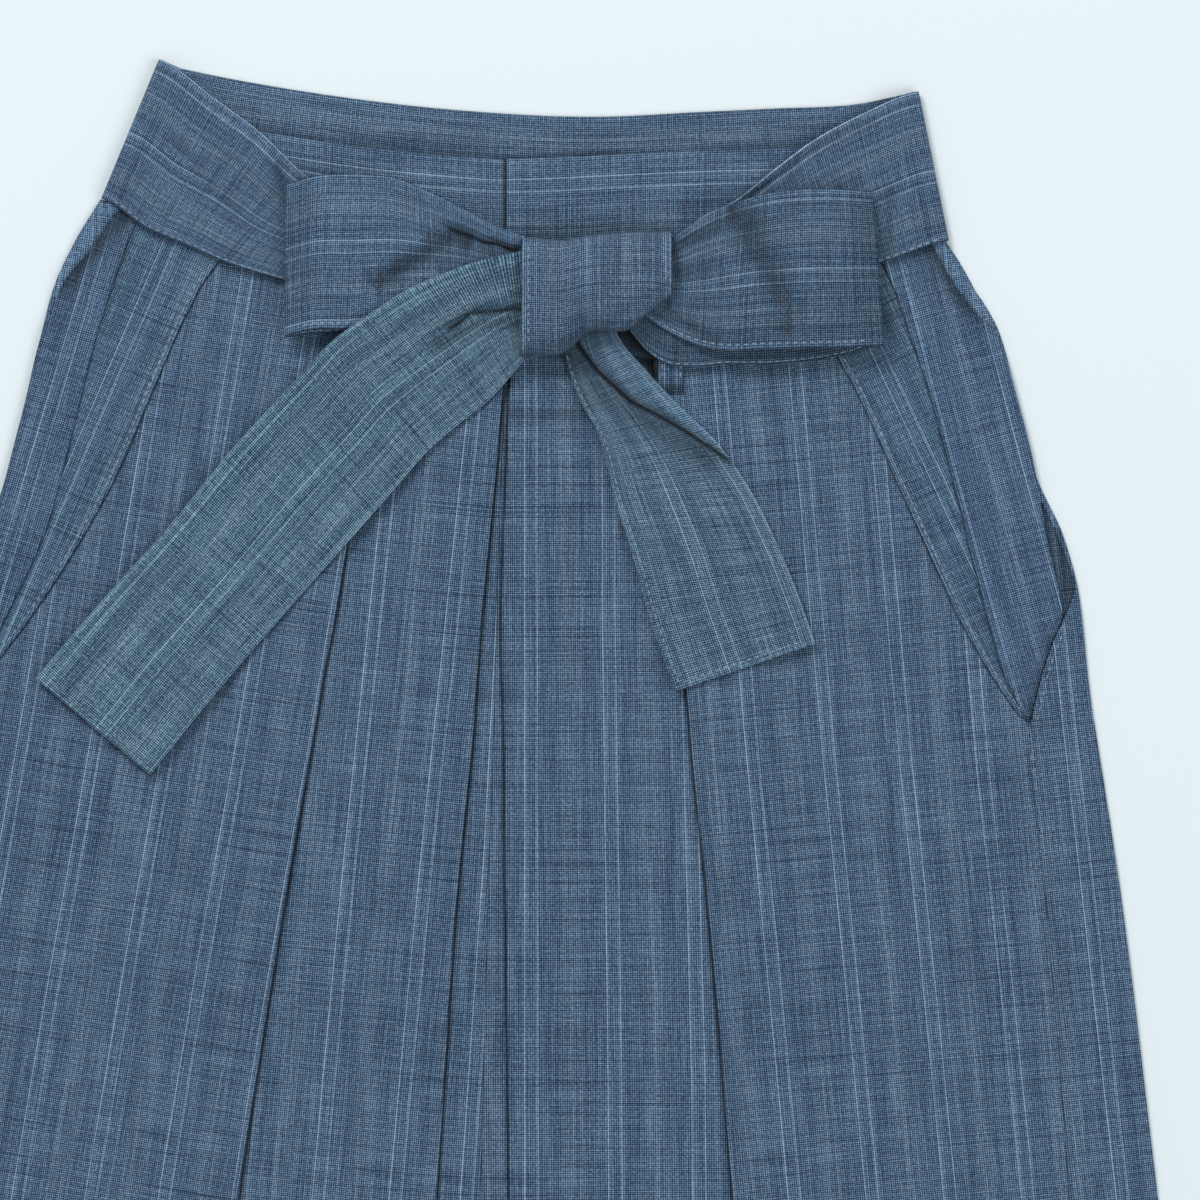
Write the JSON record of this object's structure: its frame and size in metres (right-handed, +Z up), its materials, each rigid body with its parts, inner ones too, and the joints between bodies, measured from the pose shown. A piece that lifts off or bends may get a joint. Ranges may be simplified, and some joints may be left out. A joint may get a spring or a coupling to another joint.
{
  "type": "hakama trousers",
  "caption": "Pleated hakama trousers laid flat, with slanted side openings and a wide waist tie wrapped round and tied in a bow at the front.",
  "frame": {"origin": "on the surface the garment lies on, under the middle of the garment's box", "axes": "+Z up from the surface to the front of the garment, +Y along the garment from hems to waist, +X to the right as the front is seen"},
  "size_m": [0.819, 0.975, 0.0287],
  "materials": {
    "back_cloth": "matt woven cloth, slate blue end-on-end check with fine pale warp stripes",
    "front_cloth": "matt woven cloth, slate blue end-on-end check with fine pale warp stripes",
    "side_pleat_cloth": "matt woven cloth, slate blue, grain along the slanted pleat",
    "side_panel_cloth": "matt woven cloth, slate blue, fine pale stripes",
    "waistband_cloth": "matt woven cloth, slate blue, stripes along the band",
    "tie_cloth": "matt woven cloth, slate blue, stripes along the tie",
    "knot_cloth": "matt woven cloth, slate blue, stripes over the knot",
    "tail_cloth": "matt woven cloth, slate blue with a slight green cast, stripes along the tie",
    "belt_loop_cloth": "matt woven cloth, slate blue, stitched both sides"
  },
  "bodies": {
    "root": {"back_left": "back_cloth", "back_right": "back_cloth", "back_waistband": "waistband_cloth", "front_waistband_left": "waistband_cloth", "front_waistband_right": "waistband_cloth", "front_left": "front_cloth", "front_right": "front_cloth", "side_pleat_left": "side_pleat_cloth", "side_pleat_right": "side_pleat_cloth", "side_panel_left": "side_panel_cloth", "side_panel_right": "side_panel_cloth", "tie_wrap_left": "tie_cloth", "tie_wrap_right": "tie_cloth", "bow_loop_left": "tie_cloth", "bow_loop_right": "tie_cloth", "knot": "knot_cloth", "tail_left": "tail_cloth", "tail_right": "tail_cloth", "belt_loop": "belt_loop_cloth"}
  },
  "joints": []
}
